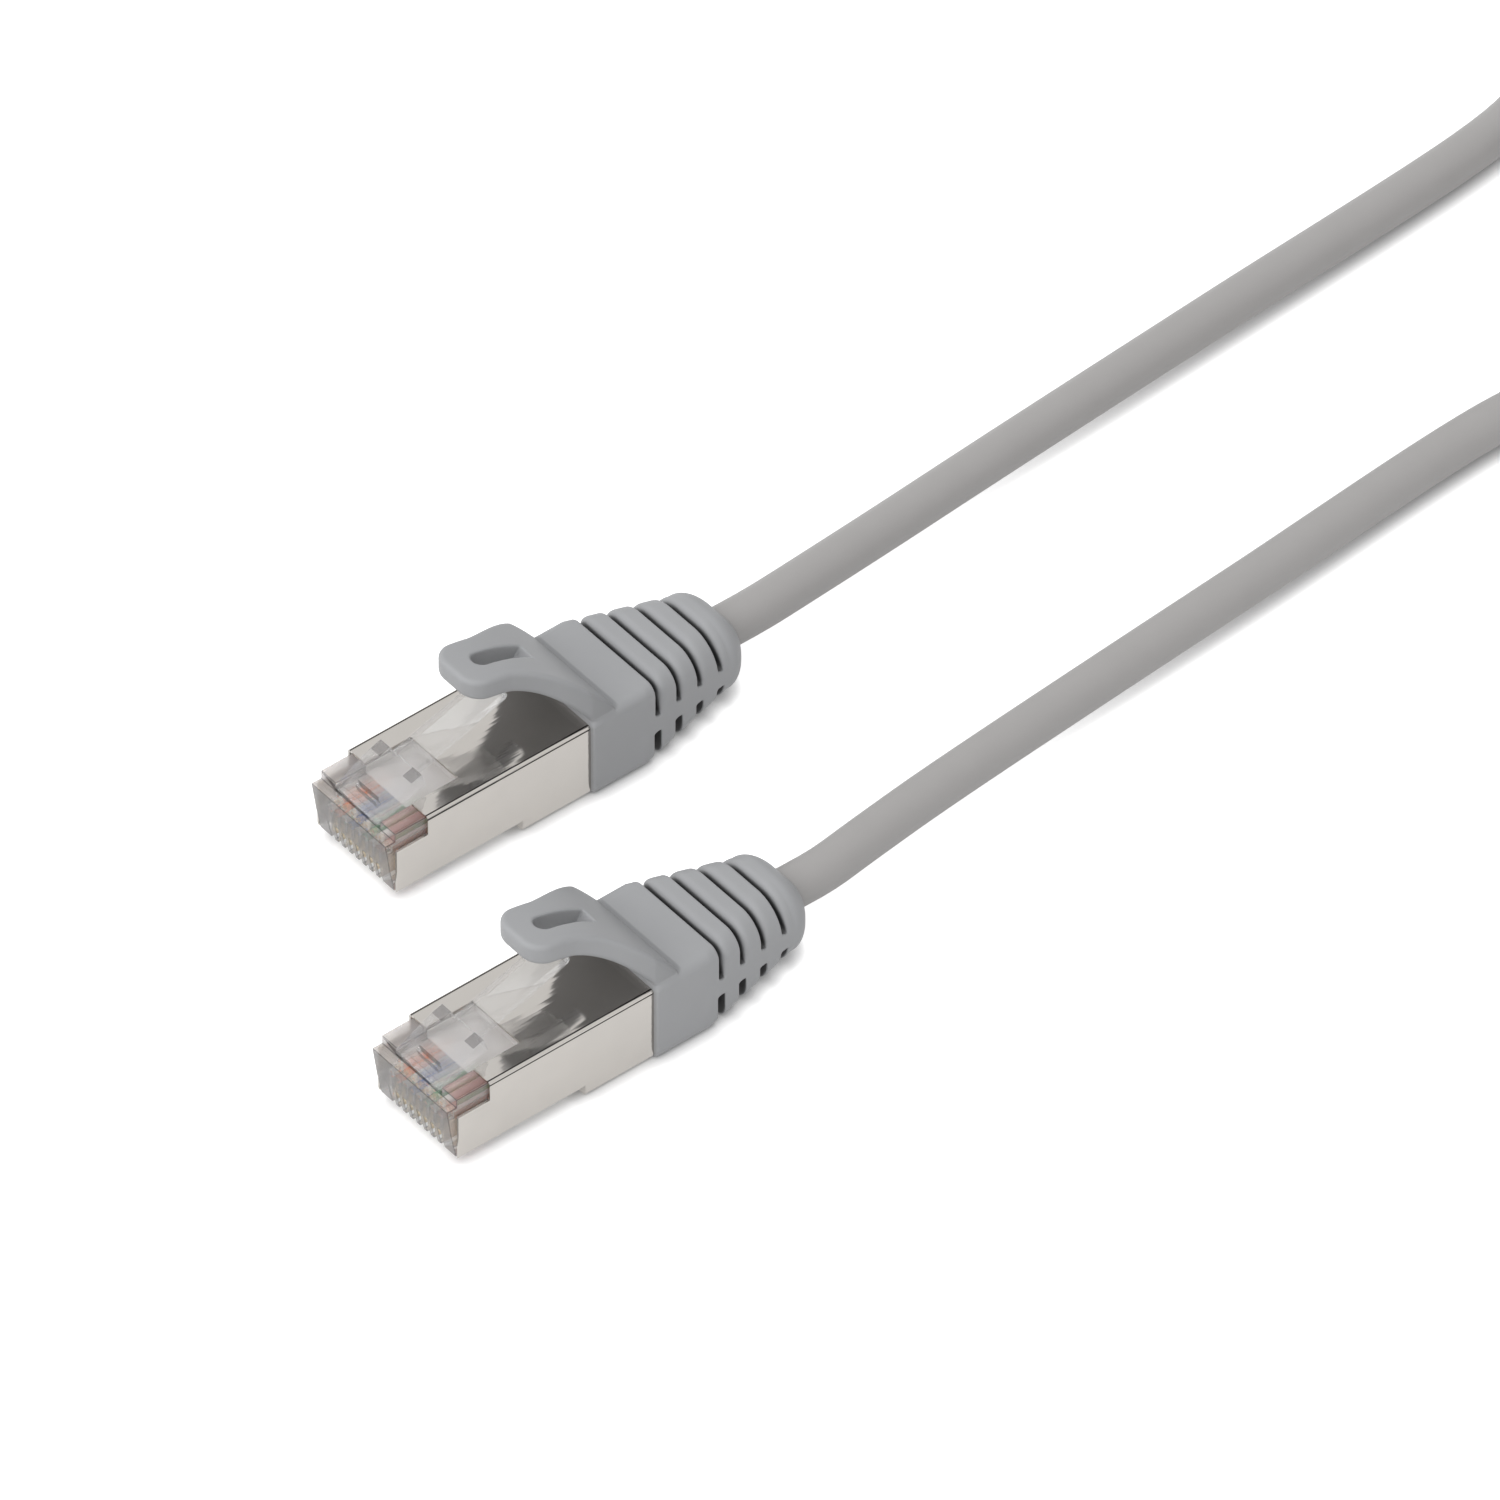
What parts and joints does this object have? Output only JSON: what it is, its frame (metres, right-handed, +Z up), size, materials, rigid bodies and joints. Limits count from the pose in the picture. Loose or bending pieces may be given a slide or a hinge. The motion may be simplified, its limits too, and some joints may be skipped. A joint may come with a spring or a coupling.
{
  "type": "ethernet patch cable",
  "caption": "Shielded network patch lead: modular plugs with clear latches and arched guards in ribbed boots, joined by a round cable with its spare length coiled.",
  "frame": {"origin": "on the supporting surface, under the middle of the box round both plugs and boots", "axes": "+Y runs from the plugs' noses to their cable ends, +Z is up with the latches on top, +X goes from plug a to plug b"},
  "size_m": [0.0584, 0.2297, 0.0186],
  "materials": {
    "plated_sheet": "nickel-plated sheet, smooth, faint rolling lines",
    "clear_plastic": "clear moulded polycarbonate",
    "gold_plate": "gold-plated contact blades",
    "natural_plastic": "clear moulded spacer",
    "copper": "bare stranded copper",
    "foil": "thin foil screen",
    "tinned_wire": "tinned copper",
    "cable_jacket": "grey flexible jacket, satin",
    "boot_grey": "grey moulded flexible plastic, fine matt skin",
    "wire_white_orange": "thin coloured insulation",
    "wire_orange": "thin coloured insulation",
    "wire_white_green": "thin coloured insulation",
    "wire_blue": "thin coloured insulation",
    "wire_white_blue": "thin coloured insulation",
    "wire_green": "thin coloured insulation",
    "wire_white_brown": "thin coloured insulation",
    "wire_brown": "thin coloured insulation"
  },
  "bodies": {
    "cable_and_plugs": {"shield_a": "plated_sheet", "plug_body_a": "clear_plastic", "contacts_a": "gold_plate", "load_bar_a": "natural_plastic", "copper_cores_a": "copper", "foil_wrap_a": "foil", "drain_wire_a": "tinned_wire", "jacket_end_a": "cable_jacket", "boot_a": "boot_grey", "shield_b": "plated_sheet", "plug_body_b": "clear_plastic", "contacts_b": "gold_plate", "load_bar_b": "natural_plastic", "copper_cores_b": "copper", "foil_wrap_b": "foil", "drain_wire_b": "tinned_wire", "jacket_end_b": "cable_jacket", "boot_b": "boot_grey", "wire_white_orange_a": "wire_white_orange", "wire_orange_a": "wire_orange", "wire_white_green_a": "wire_white_green", "wire_blue_a": "wire_blue", "wire_white_blue_a": "wire_white_blue", "wire_green_a": "wire_green", "wire_white_brown_a": "wire_white_brown", "wire_brown_a": "wire_brown", "wire_white_orange_b": "wire_white_orange", "wire_orange_b": "wire_orange", "wire_white_green_b": "wire_white_green", "wire_blue_b": "wire_blue", "wire_white_blue_b": "wire_white_blue", "wire_green_b": "wire_green", "wire_white_brown_b": "wire_white_brown", "wire_brown_b": "wire_brown", "cord_run_a": "cable_jacket", "coil": "cable_jacket", "cord_run_b": "cable_jacket"},
    "guard_a": {"latch_guard_a": "boot_grey"},
    "lever_a": {"latch_a": "clear_plastic"},
    "guard_b": {"latch_guard_b": "boot_grey"},
    "lever_b": {"latch_b": "clear_plastic"}
  },
  "joints": [
    {"name": "guard_press_a", "type": "hinge", "parent": "cable_and_plugs", "child": "guard_a", "pos_m": [-0.01545, 0.01235, 0.009], "axis": [1, 0, 0], "range_deg": [0, 16], "stiffness_Nm_per_rad": 0.02},
    {"name": "latch_press_a", "type": "hinge", "parent": "cable_and_plugs", "child": "lever_a", "pos_m": [-0.01545, -0.0121, 0.0083], "axis": [-1, 0, 0], "range_deg": [0, 12.5], "stiffness_Nm_per_rad": 0.00002, "springref_deg": -21.2},
    {"name": "guard_press_b", "type": "hinge", "parent": "cable_and_plugs", "child": "guard_b", "pos_m": [0.01545, -0.00505, 0.009], "axis": [1, 0, 0], "range_deg": [0, 16], "stiffness_Nm_per_rad": 0.02},
    {"name": "latch_press_b", "type": "hinge", "parent": "cable_and_plugs", "child": "lever_b", "pos_m": [0.01545, -0.0295, 0.0083], "axis": [-1, 0, 0], "range_deg": [0, 12.5], "stiffness_Nm_per_rad": 0.00002, "springref_deg": -21.2}
  ],
  "couplings": [
    {"joint": "latch_press_a", "follows": "guard_press_a", "ratio": 0.65},
    {"joint": "latch_press_b", "follows": "guard_press_b", "ratio": 0.65}
  ]
}
